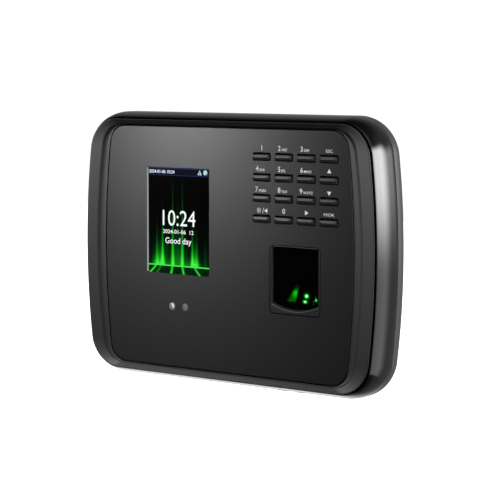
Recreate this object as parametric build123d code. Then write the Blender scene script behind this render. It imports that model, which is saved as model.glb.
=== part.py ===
from build123d import *
from math import sqrt
import os

# A wall-mounted fingerprint scanner terminal, in millimetres.
# X runs to the viewer's right, Y into the wall and Z up. The wall is the plane y = 0, so a
# larger distance in front of the wall is a more negative y. The origin is the centre of the
# wall screws, straight behind the centre of the front panel.

# ---------------------------------------------------------------- driving dimensions
# Outlines seen from the front: half width, half height, radius of the bowed sides, corner radius.
PANEL = (82.3, 65.0, 458.0, 10.0)
PANEL_SEAT = (82.9, 65.6, 458.6, 10.6)
CREST = (88.3, 66.2, 364.0, 14.0)
BEZEL = (95.9, 68.9, 440.0, 18.5)
SHELL_GROW = 3.6            # the side shell is this much larger than the bezel all round
PARTING_GAP = 0.8           # dark groove between the bezel and the side shell
WALL = 2.1                  # wall of the rear cover
PANEL_EDGE = 0.3            # radii of the front edges of the panel and the bezel
BEZEL_EDGE = 0.5
COVER_EDGE = 11.0           # radius of the rear cover's edge

# Levels, from the front to the wall.
FACE_Y = -28.5              # front face of the panel
BAND_Y = FACE_Y - 0.85      # front face of the bezel's band
PANEL_BACK_Y = FACE_Y + 2.0
DECK_BACK_Y = PANEL_BACK_Y + 1.5
DECK_CUT_Y = -20.0          # how far back the deck's openings are cut
SKIRT_Y = -22.0             # back of the low wall behind the bezel
BOARD_FRONT_Y = -15.4       # main board
BOARD_BACK_Y = BOARD_FRONT_Y + 1.6
COVER_Y = -13.5             # parting between the side shell and the rear cover
FLOOR_Y = -3.6              # inside of the rear cover's floor
BACK_Y = -0.4               # outside of the rear cover's floor
PLATE_THICK = 1.2           # steel wall plate
PLATE_POCKET_Y = -1.6       # bottom of the pocket that the wall plate sits in

# Side shell: a quarter ellipse that swells out behind the bezel. Depths are measured back
# from the panel's face.
SHELL_SWELL_DEPTH = 12.0
SHELL_LIP_GROW = 0.9
SHELL_SECTIONS = (0.2, 0.6, 1.3, 2.4, 4.0, 6.2, 8.8, 12.0)

# Display: a 2.8 inch 3:4 module.
VIEW = (43.2, 57.6)
VIEW_X, VIEW_Z = -31.5, 14.2
SCREEN_RECESS = 1.5
LCD = (50.0, 69.2)
LCD_Z = VIEW_Z - 2.6        # the module is longer below the picture
LCD_GLASS = (-25.9, -24.7)
LCD_BACKLIGHT = (-24.7, -22.5)
LCD_SHEET = (-22.4, -21.6)  # the sheet that holds the module

# Keypad.
KEY_ROWS = (
    ("1", "2", "3", "esc"),
    ("4", "5", "6", "up"),
    ("7", "8", "9", "down"),
    ("left", "0", "right", "ok"),
)
KEY_X, KEY_Z = 24.8, 50.7   # centre of the first key
KEY_PITCH_X, KEY_PITCH_Z = 14.17, 10.78
KEY_CAP = (9.9, 2.4)
KEY_SLOT = (11.6, 4.4)
KEY_SLOT_CORNER = 0.8
KEY_PROUD = 1.2
KEY_TRAVEL = 0.8
KEYPAD_BOARD = (-23.2, -22.0)
MAT_THICK = 0.6
DOME_TOP_Y = -24.5

# Fingerprint sensor.
SENSOR_X, SENSOR_Z = 46.1, -12.75
SENSOR = (31.8, 35.5)
SENSOR_OPENING = (30.0, 4.4, -26.0, -29.4)   # width, top z, z of the arc's ends and of its middle
SENSOR_LIP = 1.3
SENSOR_GAP = 0.3
PLATEN_Y = FACE_Y + 2.0

# Two round status windows.
STATUS_Z = -32.2
STATUS_X = (-35.4, -26.5)
STATUS_R = 2.15

# Fasteners.
CASE_SCREW_X, CASE_SCREW_Z = 79.0, 49.0
CASE_SCREW_R, CASE_HEAD_R, CASE_HEAD_Y = 1.45, 2.75, -5.2
BOARD_SCREW_R = 1.25
BOARD_SCREWS = [(-66.0, 51.5), (5.5, 51.5), (-66.0, -50.0), (66.0, -50.0)]
MODULE_SCREW_R, MODULE_SCREW_LEN = 1.0, 4.0
MODULE_BOSS_R = 2.2
WALL_SCREW_X, WALL_SCREW_Z, WALL_SCREW_R = 50.0, 35.0, 2.25
LOCK_Y = -6.0               # axis of the locking screw
LOCK_TAB_Z = (-45.4, -44.2)
LOCK_SCREW_R, LOCK_HEAD_R = 1.45, 2.8

# Cable opening in the rear cover and the wall plate.
CABLE_X, CABLE_Z = 0.0, -21.0
CABLE = (60.0, 30.0)
PLATE = (130.0, 96.0)

# USB socket in the bottom of the side shell, behind a hinged door.
USB_X = 40.0
USB_DOOR_Y = (-22.6, -14.5)
USB_DOOR_Z = (-72.05, -70.95)
USB_HINGE_Y, USB_HINGE_Z = -15.05, -71.5
USB_PIN_R = 0.45
USB_DOOR_HALF = 8.7

# Wall plate hooks, and the buttons on the back of the main board.
HOOK_X = 40.0
TAMPER = (0.0, 30.0)
RESET = (23.5, -29.0)
BUTTON_R = 1.5

# Places on the main board.
PROCESSOR = (-36.0, 20.0)
COIN_CELL = (-45.0, 24.0)
COIN_CELL_R = 10.0
CAPACITOR_X = (14.0, 23.0, 32.0)
TERMINALS = ((-28.0, 4), (-5.0, 5))  # left edge and number of ways
TERMINAL_PITCH = 3.81

LCD_EARS = [(x, z) for x in (VIEW_X - 28.5, VIEW_X + 28.5) for z in (LCD_Z - 31.0, LCD_Z + 31.0)]
KEYPAD_BOSSES = [(x, z) for x in (14.4, 77.6) for z in (12.8, 56.4)]
INDICATOR_BOSSES = [(-42.5, STATUS_Z), (-19.4, STATUS_Z)]
CORNERS = [(sx, sz) for sx in (-1, 1) for sz in (-1, 1)]
SENSOR_LUGS = [(SENSOR_X + sx * 20.6, SENSOR_Z + sz * 11.0) for sx, sz in CORNERS]
CASE_SCREWS = [(sx * CASE_SCREW_X, sz * CASE_SCREW_Z) for sx, sz in CORNERS]
WALL_SCREWS = [(sx * WALL_SCREW_X, sz * WALL_SCREW_Z) for sx, sz in CORNERS]


# ---------------------------------------------------------------- shared shapes
def outline(half_width, half_height, side_radius, corner_radius):
    """A rounded rectangle with straight top and bottom edges and bowed sides."""
    corner_x = half_width - side_radius + sqrt(side_radius**2 - half_height**2)
    edges = [
        ThreePointArc((corner_x, -half_height), (half_width, 0), (corner_x, half_height)),
        Line((corner_x, half_height), (-corner_x, half_height)),
        ThreePointArc((-corner_x, half_height), (-half_width, 0), (-corner_x, -half_height)),
        Line((-corner_x, -half_height), (corner_x, -half_height)),
    ]
    face = make_face(edges)
    return fillet(face.vertices(), corner_radius)


def grown(shape, amount):
    """The outline's four dimensions, moved outwards by a distance."""
    return tuple(value + amount for value in shape)


def between(start, end, share):
    """The four dimensions of an outline part of the way from one outline to another."""
    return tuple(a + (b - a) * share for a, b in zip(start, end))


def at_depth(sketch, y):
    """Stand a front-view sketch up at a depth."""
    return Plane.XZ.offset(-y) * sketch


def slab(sketch, y_front, y_back):
    """A front-view sketch made solid between two depths."""
    return extrude(at_depth(sketch, y_back), y_back - y_front)


def block(x, z, width, height, y_front, y_back, corner=0.0):
    """A box seen from the front, centred on x and z, with optional corner radius."""
    if corner:
        return slab(Pos(x, z) * RectangleRounded(width, height, corner), y_front, y_back)
    return slab(Pos(x, z) * Rectangle(width, height), y_front, y_back)


def span(x0, x1, y0, y1, z0, z1):
    """A box between two corners."""
    return Pos((x0 + x1) / 2, (y0 + y1) / 2, (z0 + z1) / 2) * Box(x1 - x0, y1 - y0, z1 - z0)


def rod(x, z, radius, y_front, y_back):
    """A round bar along Y."""
    return slab(Pos(x, z) * Circle(radius), y_front, y_back)


def upright(x, y, radius, z0, z1):
    """A round bar along Z."""
    return Pos(x, y, (z0 + z1) / 2) * Cylinder(radius, z1 - z0)


def crossbar(x0, x1, y, z, radius):
    """A round bar along X."""
    return Pos((x0 + x1) / 2, y, z) * Rot(0, 90, 0) * Cylinder(radius, x1 - x0)


def rods(places, radius, y_front, y_back):
    """The same round bar at several places."""
    return [rod(x, z, radius, y_front, y_back) for x, z in places]


def front_edges(solid):
    return solid.faces().sort_by(Axis.Y)[0].edges()


def back_edges(solid):
    return solid.faces().sort_by(Axis.Y)[-1].edges()


# ---------------------------------------------------------------- keypad places
def key_places():
    """Name and centre of each of the sixteen keys."""
    return [
        (f"key_{name}", KEY_X + column * KEY_PITCH_X, KEY_Z - row * KEY_PITCH_Z)
        for row, names in enumerate(KEY_ROWS)
        for column, name in enumerate(names)
    ]


def keypad_area(margin):
    """Centre and size of the rectangle that holds all the key slots and a margin."""
    width = 3 * KEY_PITCH_X + KEY_SLOT[0] + 2 * margin
    height = 3 * KEY_PITCH_Z + KEY_SLOT[1] + 2 * margin
    return KEY_X + 1.5 * KEY_PITCH_X, KEY_Z - 1.5 * KEY_PITCH_Z, width, height


# ---------------------------------------------------------------- front
def front_panel():
    panel = slab(outline(*PANEL), FACE_Y, PANEL_BACK_Y)
    panel = fillet(front_edges(panel), PANEL_EDGE)
    panel -= block(VIEW_X, VIEW_Z, *VIEW, FACE_Y - 1, PANEL_BACK_Y + 1, 0.6)
    panel -= block(VIEW_X, VIEW_Z, VIEW[0] + 3.8, VIEW[1] + 3.8, FACE_Y + SCREEN_RECESS, 0, 1.0)
    for _, x, z in key_places():
        panel -= block(x, z, *KEY_SLOT, FACE_Y - 1, PANEL_BACK_Y + 1, KEY_SLOT_CORNER)
    panel -= block(SENSOR_X, SENSOR_Z, SENSOR[0] + 2 * SENSOR_GAP, SENSOR[1] + 2 * SENSOR_GAP,
                   FACE_Y - 1, PANEL_BACK_Y + 1, 2.3)
    for x in STATUS_X:
        panel -= rod(x, STATUS_Z, STATUS_R + 0.1, FACE_Y - 1, PANEL_BACK_Y + 1)
    return panel


def front_bezel():
    frame = slab(outline(*BEZEL), BAND_Y, DECK_BACK_Y)
    frame = fillet(front_edges(frame), BEZEL_EDGE)
    frame -= slab(outline(*CREST), BAND_Y - 1, BAND_Y)
    frame -= cove()
    frame -= slab(outline(*PANEL_SEAT), BAND_Y - 1, PANEL_BACK_Y)
    frame += skirt()
    frame += rods(CASE_SCREWS, 3.8, DECK_BACK_Y, -8.05)
    frame += rods(BOARD_SCREWS, 3.0, DECK_BACK_Y, BOARD_FRONT_Y)
    frame += rods(LCD_EARS, MODULE_BOSS_R, DECK_BACK_Y, LCD_SHEET[0])
    frame += rods(KEYPAD_BOSSES + INDICATOR_BOSSES, MODULE_BOSS_R, DECK_BACK_Y, KEYPAD_BOARD[0])
    frame -= deck_openings()
    frame -= rods(LCD_EARS + KEYPAD_BOSSES + INDICATOR_BOSSES + SENSOR_LUGS, MODULE_SCREW_R + 0.02,
                  PANEL_BACK_Y + 0.1, DECK_CUT_Y)
    frame -= rods(CASE_SCREWS, CASE_SCREW_R + 0.05, -20.5, -8)
    frame -= rods(BOARD_SCREWS, BOARD_SCREW_R + 0.02, -21.5, -15)
    return frame


def cove():
    """The hollow that falls from the bezel's crest to the panel: steep first, then flat."""
    depth = FACE_Y + 0.15 - BAND_Y
    sections = []
    for share in (0.0, 0.3, 0.65, 1.0):
        fall = depth * (1 - (1 - share) ** 2)
        sections.append(at_depth(outline(*between(CREST, PANEL_SEAT, share)), BAND_Y + fall))
    return loft(sections)


def skirt():
    """A low wall behind the bezel that centres the side shell."""
    wall = slab(outline(*grown(BEZEL, -2.4)), DECK_BACK_Y, SKIRT_Y)
    return wall - slab(outline(*grown(BEZEL, -4.0)), DECK_BACK_Y - 1, SKIRT_Y + 1)


def deck_openings():
    """What is cut from the deck behind the panel: display, keys, sensor and status lights."""
    x, z, width, height = keypad_area(0.9)
    cuts = [
        block(VIEW_X, LCD_Z, LCD[0] + 1, LCD[1] + 1, BAND_Y, DECK_CUT_Y, 1.0),
        block(x, z, width, height, BAND_Y, DECK_CUT_Y, 1.0),
        block(SENSOR_X, SENSOR_Z, SENSOR[0] + 2 * SENSOR_GAP, SENSOR[1] + 2 * SENSOR_GAP,
              BAND_Y, DECK_CUT_Y, 2.3),
    ]
    return cuts + [rod(x, STATUS_Z, STATUS_R + 0.1, BAND_Y, DECK_CUT_Y) for x in STATUS_X]


# ---------------------------------------------------------------- side shell and rear cover
def swell(depth):
    """How far the side shell stands outside the bezel at a depth behind the panel's face."""
    reach = 1 - min(depth, SHELL_SWELL_DEPTH) / SHELL_SWELL_DEPTH
    return SHELL_LIP_GROW + (SHELL_GROW - SHELL_LIP_GROW) * sqrt(1 - reach**2)


def side_shell():
    sections = [at_depth(outline(*grown(BEZEL, swell(d))), FACE_Y + d) for d in SHELL_SECTIONS]
    shell = loft(sections, ruled=True)
    shell += slab(outline(*grown(BEZEL, SHELL_GROW)), FACE_Y + SHELL_SWELL_DEPTH, COVER_Y)
    shell -= slab(outline(*grown(BEZEL, PARTING_GAP)), FACE_Y - 1, COVER_Y + 1)
    shell -= slab(outline(*grown(BEZEL, SHELL_GROW - 1.8)), -24.5, COVER_Y + 1)
    flange = slab(outline(*grown(BEZEL, 2.2)), -24.9, -23.4)
    shell += flange - slab(outline(*grown(BEZEL, -2.3)), -26, -22)
    shell += span(USB_X - 11, USB_X + 11, -23.3, -13.7, -71.4, -69.2)
    shell -= span(USB_X - 9, USB_X + 9, USB_DOOR_Y[0] - 0.3, USB_DOOR_Y[1] + 0.25, -80, -70.8)
    shell -= span(USB_X - 7, USB_X + 7, -21.6, -15.0, -80, -68)
    shell -= crossbar(USB_X - 10.4, USB_X + 10.4, USB_HINGE_Y, USB_HINGE_Z, USB_PIN_R + 0.05)
    return shell


def usb_cover():
    """A small door that hangs on two pins moulded at its rear edge."""
    half = (USB_DOOR_Z[1] - USB_DOOR_Z[0]) / 2
    door = span(USB_X - USB_DOOR_HALF, USB_X + USB_DOOR_HALF, USB_DOOR_Y[0], USB_HINGE_Y, *USB_DOOR_Z)
    door += crossbar(USB_X - USB_DOOR_HALF, USB_X + USB_DOOR_HALF, USB_HINGE_Y, USB_HINGE_Z, half)
    door += crossbar(USB_X - 10.1, USB_X + 10.1, USB_HINGE_Y, USB_HINGE_Z, USB_PIN_R)
    door -= span(USB_X - 3, USB_X + 3, USB_DOOR_Y[0] - 1, USB_DOOR_Y[0] + 0.8, -73, -71.6)
    return door


def cover_body():
    body = slab(outline(*grown(BEZEL, SHELL_GROW)), COVER_Y + 0.15, BACK_Y)
    return fillet(back_edges(body), COVER_EDGE)


def rear_cover():
    body = cover_body()
    inside = slab(outline(*grown(BEZEL, SHELL_GROW - WALL)), COVER_Y - 8, FLOOR_Y)
    inside = fillet(back_edges(inside), COVER_EDGE - WALL)
    cover = body - inside
    lip = slab(outline(*grown(BEZEL, 1.5)), -16.0, -11.5) - slab(outline(*grown(BEZEL, 0.2)), -17, -11)
    cover += lip - span(USB_X - 12, USB_X + 12, -17, COVER_Y + 0.15, -75, -60)
    cover += rods(CASE_SCREWS, 4.5, -8.0, FLOOR_Y)
    cover += span(-5.5, 5.5, -10.6, FLOOR_Y, -73, -47.5) & body
    for x in (-64.2, -33.0):
        cover += span(x, x + 1.2, -13.2, FLOOR_Y, -73, -58) & body
    return cover - cover_cuts()


def cover_cuts():
    """Everything cut from the rear cover: pocket, cable opening, screw holes and sound slots."""
    cuts = [
        block(0, 0, PLATE[0] + 1, PLATE[1] + 1, PLATE_POCKET_Y, 1, 3.5),
        block(CABLE_X, CABLE_Z, *CABLE, -5, 1, 2.0),
        rod(*TAMPER, BUTTON_R + 0.2, -5, 1),
        span(-7.8, 7.8, -12, 1, LOCK_TAB_Z[0] - 0.8, LOCK_TAB_Z[1] + 0.8),
        upright(0, LOCK_Y, LOCK_SCREW_R + 0.25, -60, -46),
        upright(0, LOCK_Y, LOCK_HEAD_R + 0.4, -80, -53),
    ]
    for sx in (-1, 1):
        cuts.append(span(sx * HOOK_X - 5.6, sx * HOOK_X + 5.6, -5, 1, 33.5, 40.3))
    cuts += rods(CASE_SCREWS, CASE_SCREW_R + 0.15, -9, 1)
    cuts += rods(CASE_SCREWS, CASE_HEAD_R + 0.35, CASE_HEAD_Y, 1)
    for slot in range(6):
        x = -58.0 + 4.0 * slot
        cuts.append(span(x, x + 1.6, -12.4, -7.4, -80, -66.4))
    return cuts


# ---------------------------------------------------------------- wall plate and its screw
def wall_plate():
    """Steel plate with two bent hooks at the top and a tapped tab at the bottom."""
    plate = block(0, 0, *PLATE, -PLATE_THICK, 0, 3.0)
    plate -= block(CABLE_X, CABLE_Z, CABLE[0] - 2, CABLE[1] - 2, -3, 1, 2.0)
    for sx in (-1, 1):
        x = sx * HOOK_X
        plate += span(x - 5, x + 5, -4.9, -PLATE_THICK, 38.9, 40.1)
        plate += span(x - 5, x + 5, -4.9, -3.9, 40.1, 43.4)
    plate += span(-7, 7, -9.2, -PLATE_THICK, *LOCK_TAB_Z)
    plate -= upright(0, LOCK_Y, LOCK_SCREW_R + 0.05, -48, -42)
    return plate - rods(WALL_SCREWS, WALL_SCREW_R, -3, 1)


def locking_screw():
    """Security screw that holds the terminal down on its wall plate."""
    screw = upright(0, LOCK_Y, LOCK_SCREW_R, -53.0, -41.0) + upright(0, LOCK_Y, LOCK_HEAD_R, -55.8, -53.0)
    return screw - upright(0, LOCK_Y, 1.0, -56.5, -54.2)


def pan_screw(x, z, shank_r, length, head_r, head_height, head_y):
    """Screw driven towards the viewer; head_y is the underside of its head."""
    screw = rod(x, z, shank_r, head_y - length, head_y)
    screw += rod(x, z, head_r, head_y, head_y + head_height)
    for width, height in ((head_r * 1.3, head_r * 0.28), (head_r * 0.28, head_r * 1.3)):
        screw -= block(x, z, width, height, head_y + head_height * 0.45, head_y + head_height + 1)
    return screw


def case_screws():
    return [pan_screw(x, z, CASE_SCREW_R, 14.5, CASE_HEAD_R, 2.0, CASE_HEAD_Y) for x, z in CASE_SCREWS]


def board_screws():
    return [pan_screw(x, z, BOARD_SCREW_R, 6.5, 2.4, 1.6, BOARD_BACK_Y) for x, z in BOARD_SCREWS]


def module_screws():
    """The small screws of the display bracket, keypad board, indicator board and sensor."""
    seats = [(LCD_EARS, LCD_SHEET[1]), (KEYPAD_BOSSES, KEYPAD_BOARD[1]),
             (INDICATOR_BOSSES, KEYPAD_BOARD[1]), (SENSOR_LUGS, -22.3)]
    return [pan_screw(x, z, MODULE_SCREW_R, MODULE_SCREW_LEN, 1.8, 1.1, seat)
            for places, seat in seats for x, z in places]


# ---------------------------------------------------------------- display
def screen_window():
    front = FACE_Y + SCREEN_RECESS
    window = block(VIEW_X, VIEW_Z, VIEW[0] + 3.4, VIEW[1] + 3.4, front, front + 1.0, 0.8)
    return window


def lcd_glass():
    return block(VIEW_X, LCD_Z, *LCD, *LCD_GLASS)


def lcd_backlight():
    tray = block(VIEW_X, LCD_Z, *LCD, *LCD_BACKLIGHT, 0.8)
    return tray - block(VIEW_X, LCD_Z, LCD[0] - 6, LCD[1] - 6, LCD_BACKLIGHT[1] - 0.5, -20, 1.0)


def lcd_bracket():
    """Sheet that holds the display to the deck by four ears."""
    sheet = block(VIEW_X, LCD_Z, 61.4, 66.4, *LCD_SHEET, 2.5)
    sheet -= block(VIEW_X, LCD_Z, 34.0, 46.0, -23, -21, 3.0)
    return sheet - rods(LCD_EARS, MODULE_SCREW_R + 0.2, -23, -21)


def ribbon(x, width, points):
    """A flat flexible cable: a bent strip 0.2 thick, from points given as (y, z)."""
    strip = trace(FilletPolyline(*points, radius=0.8), 0.2)
    return extrude(Plane.YZ.offset(x - width / 2) * strip, width)


def lcd_flex():
    bottom = LCD_Z - LCD[1] / 2
    return ribbon(VIEW_X, 18.0, [(-24.8, bottom), (-24.8, bottom - 2.2), (-18.0, bottom - 2.2),
                                 (-18.0, bottom - 5.6)])


def keypad_flex():
    return ribbon(46.0, 10.0, [(-21.8, 16.0), (-17.6, 16.0), (-17.6, 11.6)])


def sensor_flex():
    return ribbon(60.0, 8.0, [(-7.5, -4.0), (-7.5, 9.0), (-12.2, 9.0), (-12.2, 13.0)])


# ---------------------------------------------------------------- keypad
def key(x, z):
    """A bar-shaped cap on a flange that rests behind the panel."""
    flange_front = PANEL_BACK_Y + 0.1
    cap = block(x, z, *KEY_CAP, FACE_Y - KEY_PROUD, flange_front + 0.2, 0.6)
    cap = fillet(front_edges(cap), 0.45)
    cap += block(x, z, KEY_SLOT[0] + 1.2, KEY_SLOT[1] + 1.4, flange_front, flange_front + 0.8, 0.8)
    return cap + rod(x, z, 1.4, flange_front + 0.8, DOME_TOP_Y - KEY_TRAVEL - 0.05)


def keypad_mat():
    x, z, width, height = keypad_area(0.5)
    mat = block(x, z, width, height, KEYPAD_BOARD[0] - MAT_THICK, KEYPAD_BOARD[0], 1.0)
    for _, key_x, key_z in key_places():
        dome = Pos(key_x, key_z) * Circle(2.6)
        tip = Pos(key_x, key_z) * Circle(1.5)
        mat += loft([at_depth(dome, KEYPAD_BOARD[0] - MAT_THICK), at_depth(tip, DOME_TOP_Y)])
    return mat


def keypad_board():
    board = block(46.0, 34.6, 68.4, 48.4, *KEYPAD_BOARD, 2.0)
    board -= rods(CASE_SCREWS, 4.6, -25, -20)
    return board - rods(KEYPAD_BOSSES, MODULE_SCREW_R + 0.2, -25, -20)


# ---------------------------------------------------------------- fingerprint sensor
def sensor_opening(raised):
    """The finger opening, whose lower edge is an arc, raised by a distance."""
    width, top, arc_end, arc_middle = SENSOR_OPENING
    left, right = SENSOR_X - width / 2, SENSOR_X + width / 2
    edges = [
        Line((left, arc_end + raised), (left, top)),
        Line((left, top), (right, top)),
        Line((right, top), (right, arc_end + raised)),
        ThreePointArc((right, arc_end + raised), (SENSOR_X, arc_middle + raised),
                      (left, arc_end + raised)),
    ]
    return make_face(edges)


def sensor_surround():
    """Frame around the platen, with a bevelled arc that guides the fingertip."""
    frame = block(SENSOR_X, SENSOR_Z, *SENSOR, FACE_Y, DECK_BACK_Y + 0.1, 2.0)
    frame = fillet(front_edges(frame), PANEL_EDGE)
    frame += sensor_flange(DECK_BACK_Y + 0.1, DECK_BACK_Y + 1.1)
    frame -= block(SENSOR_X, SENSOR_Z, SENSOR[0] - 1.2, SENSOR[1] - 1.2, PLATEN_Y - 0.1, -20, 0.2)
    bevel = [at_depth(sensor_opening(0.0), FACE_Y - 0.01),
             at_depth(sensor_opening(SENSOR_LIP), FACE_Y + 1.2)]
    frame -= loft(bevel)
    return frame - slab(sensor_opening(SENSOR_LIP), FACE_Y - 0.5, -20)


def sensor_flange(y_front, y_back):
    """Flange with two lugs each side that the sensor's screws pass through."""
    flange = block(SENSOR_X, SENSOR_Z, SENSOR[0] + 5.2, SENSOR[1] + 5.2, y_front, y_back, 2.0)
    for x, z in SENSOR_LUGS:
        side = 1 if x > SENSOR_X else -1
        flange += block(x - side * 1.5, z, 7.0, 5.0, y_front, y_back, 1.5)
    return flange - rods(SENSOR_LUGS, MODULE_SCREW_R + 0.1, y_front - 1, y_back + 1)


def sensor_prism():
    """Glass block whose front face is the platen; its ends slope to fold the light path."""
    half = SENSOR[1] / 2 - 0.8
    profile = [(PLATEN_Y, half), (PLATEN_Y, -half), (-23.0, -half), (-17.0, -half + 6.0),
               (-17.0, half - 8.0), (-23.0, half)]
    points = [(y, SENSOR_Z + z) for y, z in profile]
    face = make_face(Polyline(*points, close=True))
    return extrude(Plane.YZ.offset(SENSOR_X - 15.1) * face, 30.2)


def sensor_housing():
    """Dark box behind the deck that holds the prism, the lights and the camera board."""
    box = sensor_flange(DECK_BACK_Y + 1.2, -22.3)
    box += block(SENSOR_X, SENSOR_Z, SENSOR[0] + 2.8, SENSOR[1] + 2.8, DECK_BACK_Y + 1.2, -9.0, 2.0)
    box -= block(SENSOR_X, SENSOR_Z, SENSOR[0] - 1.2, SENSOR[1] - 1.2, -30, -16.6, 0.2)
    return box - block(SENSOR_X, SENSOR_Z, 26.0, 28.0, -17, -10.4, 2.0)


def sensor_leds():
    """Green lamps that light the finger through the prism."""
    return [block(SENSOR_X + x, SENSOR_Z + z, 3.0, 2.4, -16.2, -14.6, 0.3)
            for x, z in ((-5.0, -11.0), (2.0, -11.0), (9.0, -11.0))]


def sensor_lens():
    """Small camera lens on the sensor board."""
    lens = rod(SENSOR_X, SENSOR_Z + 4.0, 4.0, -14.4, -10.4)
    return fillet(front_edges(lens), 0.8)


def sensor_board():
    return block(SENSOR_X, SENSOR_Z, SENSOR[0], SENSOR[1], -8.9, -7.7, 1.0)


# ---------------------------------------------------------------- status lights
def status_lens(x):
    """Light pipe with a slightly domed face, held by a flange behind the deck."""
    pipe = rod(x, STATUS_Z, STATUS_R, FACE_Y + 0.2, DECK_BACK_Y)
    pipe = fillet(front_edges(pipe), 0.35)
    return pipe + rod(x, STATUS_Z, STATUS_R + 0.9, DECK_BACK_Y, DECK_BACK_Y + 0.8)


def status_leds():
    return [block(x, STATUS_Z, 2.0, 1.6, -24.0, KEYPAD_BOARD[0]) for x in STATUS_X]


def indicator_board():
    middle = sum(STATUS_X) / 2
    board = block(middle, STATUS_Z, 29.0, 9.0, *KEYPAD_BOARD, 1.0)
    return board - rods(INDICATOR_BOSSES, MODULE_SCREW_R + 0.2, -25, -20)


# ---------------------------------------------------------------- electronics
def main_board():
    board = block(0, 0, 142.0, 112.0, BOARD_FRONT_Y, BOARD_BACK_Y, 3.0)
    board += span(USB_X - 10, USB_X + 10, BOARD_FRONT_Y, BOARD_BACK_Y, -66.0, -55.0)
    board -= block(SENSOR_X, SENSOR_Z, SENSOR[0] + 4.4, SENSOR[1] + 4.4, -20, -10, 2.0)
    return board - rods(BOARD_SCREWS, BOARD_SCREW_R + 0.25, -20, -10)


def shield_can():
    """Pressed tin lid over the processor, with two rows of vent holes."""
    can = block(*PROCESSOR, 34.0, 30.0, BOARD_FRONT_Y - 2.6, BOARD_FRONT_Y, 1.0)
    can -= block(*PROCESSOR, 33.4, 29.4, BOARD_FRONT_Y - 2.3, BOARD_FRONT_Y + 1, 0.8)
    x, z = PROCESSOR
    holes = [(x + 5 * column, z + 6 * row) for column in range(-2, 3) for row in (-1, 1)]
    return can - rods(holes, 0.8, -20, BOARD_FRONT_Y - 2)


def processor():
    return block(*PROCESSOR, 15.0, 15.0, BOARD_FRONT_Y - 1.4, BOARD_FRONT_Y)


def ribbon_connectors():
    """Sockets of the display and keypad ribbons, and of the sensor's at the back of the board."""
    bottom = LCD_Z - LCD[1] / 2
    return [
        block(VIEW_X, bottom - 7.2, 22.0, 3.2, -19.0, BOARD_FRONT_Y),
        block(46.0, 10.4, 13.0, 2.4, -18.6, BOARD_FRONT_Y),
        block(60.0, 14.4, 11.0, 2.8, BOARD_BACK_Y, -11.2),
    ]


def coin_cell_holder():
    holder = block(*COIN_CELL, 24.0, 24.0, BOARD_BACK_Y, -8.8, 3.0)
    return holder - rod(*COIN_CELL, COIN_CELL_R + 0.2, -12.4, -8)


def coin_cell():
    cell = rod(*COIN_CELL, COIN_CELL_R, -12.4, -9.2)
    return fillet(back_edges(cell), 0.5)


def relay():
    return block(-45, -10, 15.5, 19.0, BOARD_BACK_Y, -4.4, 1.0)


def capacitors():
    return [fillet(back_edges(rod(x, 44, 3.15, BOARD_BACK_Y, -6.6)), 0.6) for x in CAPACITOR_X]


def terminal_blocks():
    """Screw terminals for power and for the door lock: wire entries below, screws at the back."""
    blocks = []
    for left, ways in TERMINALS:
        body = span(left, left + TERMINAL_PITCH * ways + 1, BOARD_BACK_Y, -4.5, -17.5, -8.5)
        for way in range(ways):
            x = left + 0.5 + TERMINAL_PITCH * (way + 0.5)
            body -= span(x - 1.2, x + 1.2, -12.2, -8.8, -19, -13.5)
            body -= rod(x, -13.0, 1.4, -6.0, -4)
        blocks.append(body)
    return blocks


def network_header():
    """Shrouded header for the network lead."""
    header = span(16.2, 27.0, BOARD_BACK_Y, -5.0, -16.5, -9.0)
    return header - span(16.8, 26.4, -11.5, -4, -15.9, -9.6)


def usb_port():
    """USB socket that opens downwards: a steel shell around a plastic tongue."""
    shell = span(USB_X - 6.6, USB_X + 6.6, -21.2, BOARD_FRONT_Y, -69.8, -55.8)
    shell -= span(USB_X - 6.2, USB_X + 6.2, -20.8, BOARD_FRONT_Y - 0.4, -71, -60.0)
    return shell + span(USB_X - 5.6, USB_X + 5.6, -18.0, -16.2, -69.0, -59.5)


def speaker():
    box = span(-62.6, -33.4, -13.0, -6.2, -66.0, -60.0)
    return box - span(-59.0, -37.0, -12.0, -7.4, -67, -65.2)


def push_switches():
    """Bodies of the tamper switch and the reset switch, on the back of the main board."""
    tamper = block(*TAMPER, 8.0, 8.0, BOARD_BACK_Y, -7.5, 0.6) - rod(*TAMPER, BUTTON_R + 0.05, -10.9, -7)
    reset = block(*RESET, 6.0, 6.0, BOARD_BACK_Y, -10.4, 0.4) - rod(*RESET, BUTTON_R + 0.05, -13.0, -10)
    return [tamper, reset]


def tamper_button():
    """Plunger that the wall plate holds pressed."""
    return fillet(back_edges(rod(*TAMPER, BUTTON_R, -9.6, -PLATE_THICK - 0.05)), 0.4)


def reset_button():
    return fillet(back_edges(rod(*RESET, BUTTON_R, -12.2, -8.8)), 0.3)


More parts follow.
